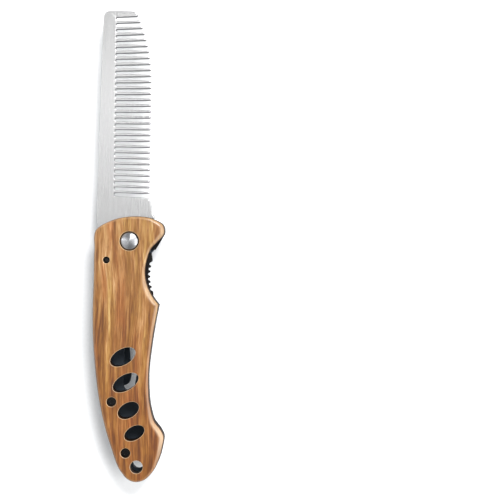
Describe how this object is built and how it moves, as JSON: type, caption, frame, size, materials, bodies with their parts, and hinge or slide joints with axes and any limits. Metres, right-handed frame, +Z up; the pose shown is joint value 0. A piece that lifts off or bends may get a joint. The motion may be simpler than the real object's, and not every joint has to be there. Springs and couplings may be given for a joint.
{
  "type": "folding comb",
  "caption": "Folding pocket comb: a flat steel comb that swings out of a curved handle with a wooden front, a black lock liner, a steel back plate and a bent pocket clip.",
  "frame": {"origin": "bottom centre of the whole open comb's bounding box, on the plane it lies on", "axes": "+Z up, out of the handle's wooden front; +Y from the handle to the tip of the open comb; the teeth point to +X"},
  "size_m": [0.029, 0.19, 0.0159],
  "materials": {
    "oiled_wood": "oiled, satin",
    "black_coated_steel": "black oxide coating, satin",
    "satin_steel": "fine bead-blasted satin",
    "polished_steel": "polished",
    "washer_bronze": "plain, hidden",
    "stainless_comb": "satin stainless"
  },
  "bodies": {
    "handle": {"wood_scale": "oiled_wood", "lock_liner": "black_coated_steel", "back_frame": "satin_steel", "pocket_clip": "satin_steel", "pivot_barrel": "polished_steel", "pivot_washer": "washer_bronze", "stop_pin": "black_coated_steel", "pivot_screw": "black_coated_steel", "clip_screw_left": "black_coated_steel", "clip_screw_right": "black_coated_steel", "pillar_upper": "satin_steel", "pillar_lower": "satin_steel", "wood_screw_upper": "black_coated_steel", "wood_screw_lower": "black_coated_steel", "frame_screw_upper": "black_coated_steel", "frame_screw_lower": "black_coated_steel"},
    "comb": {"comb": "stainless_comb", "comb_stud_spine": "stainless_comb", "comb_stud_teeth": "stainless_comb"}
  },
  "joints": [
    {"name": "comb_fold", "type": "hinge", "parent": "handle", "child": "comb", "pos_m": [0.00038, 0.00165, 0.0089], "axis": [0, 0, -1], "range_deg": [0, 174]}
  ]
}
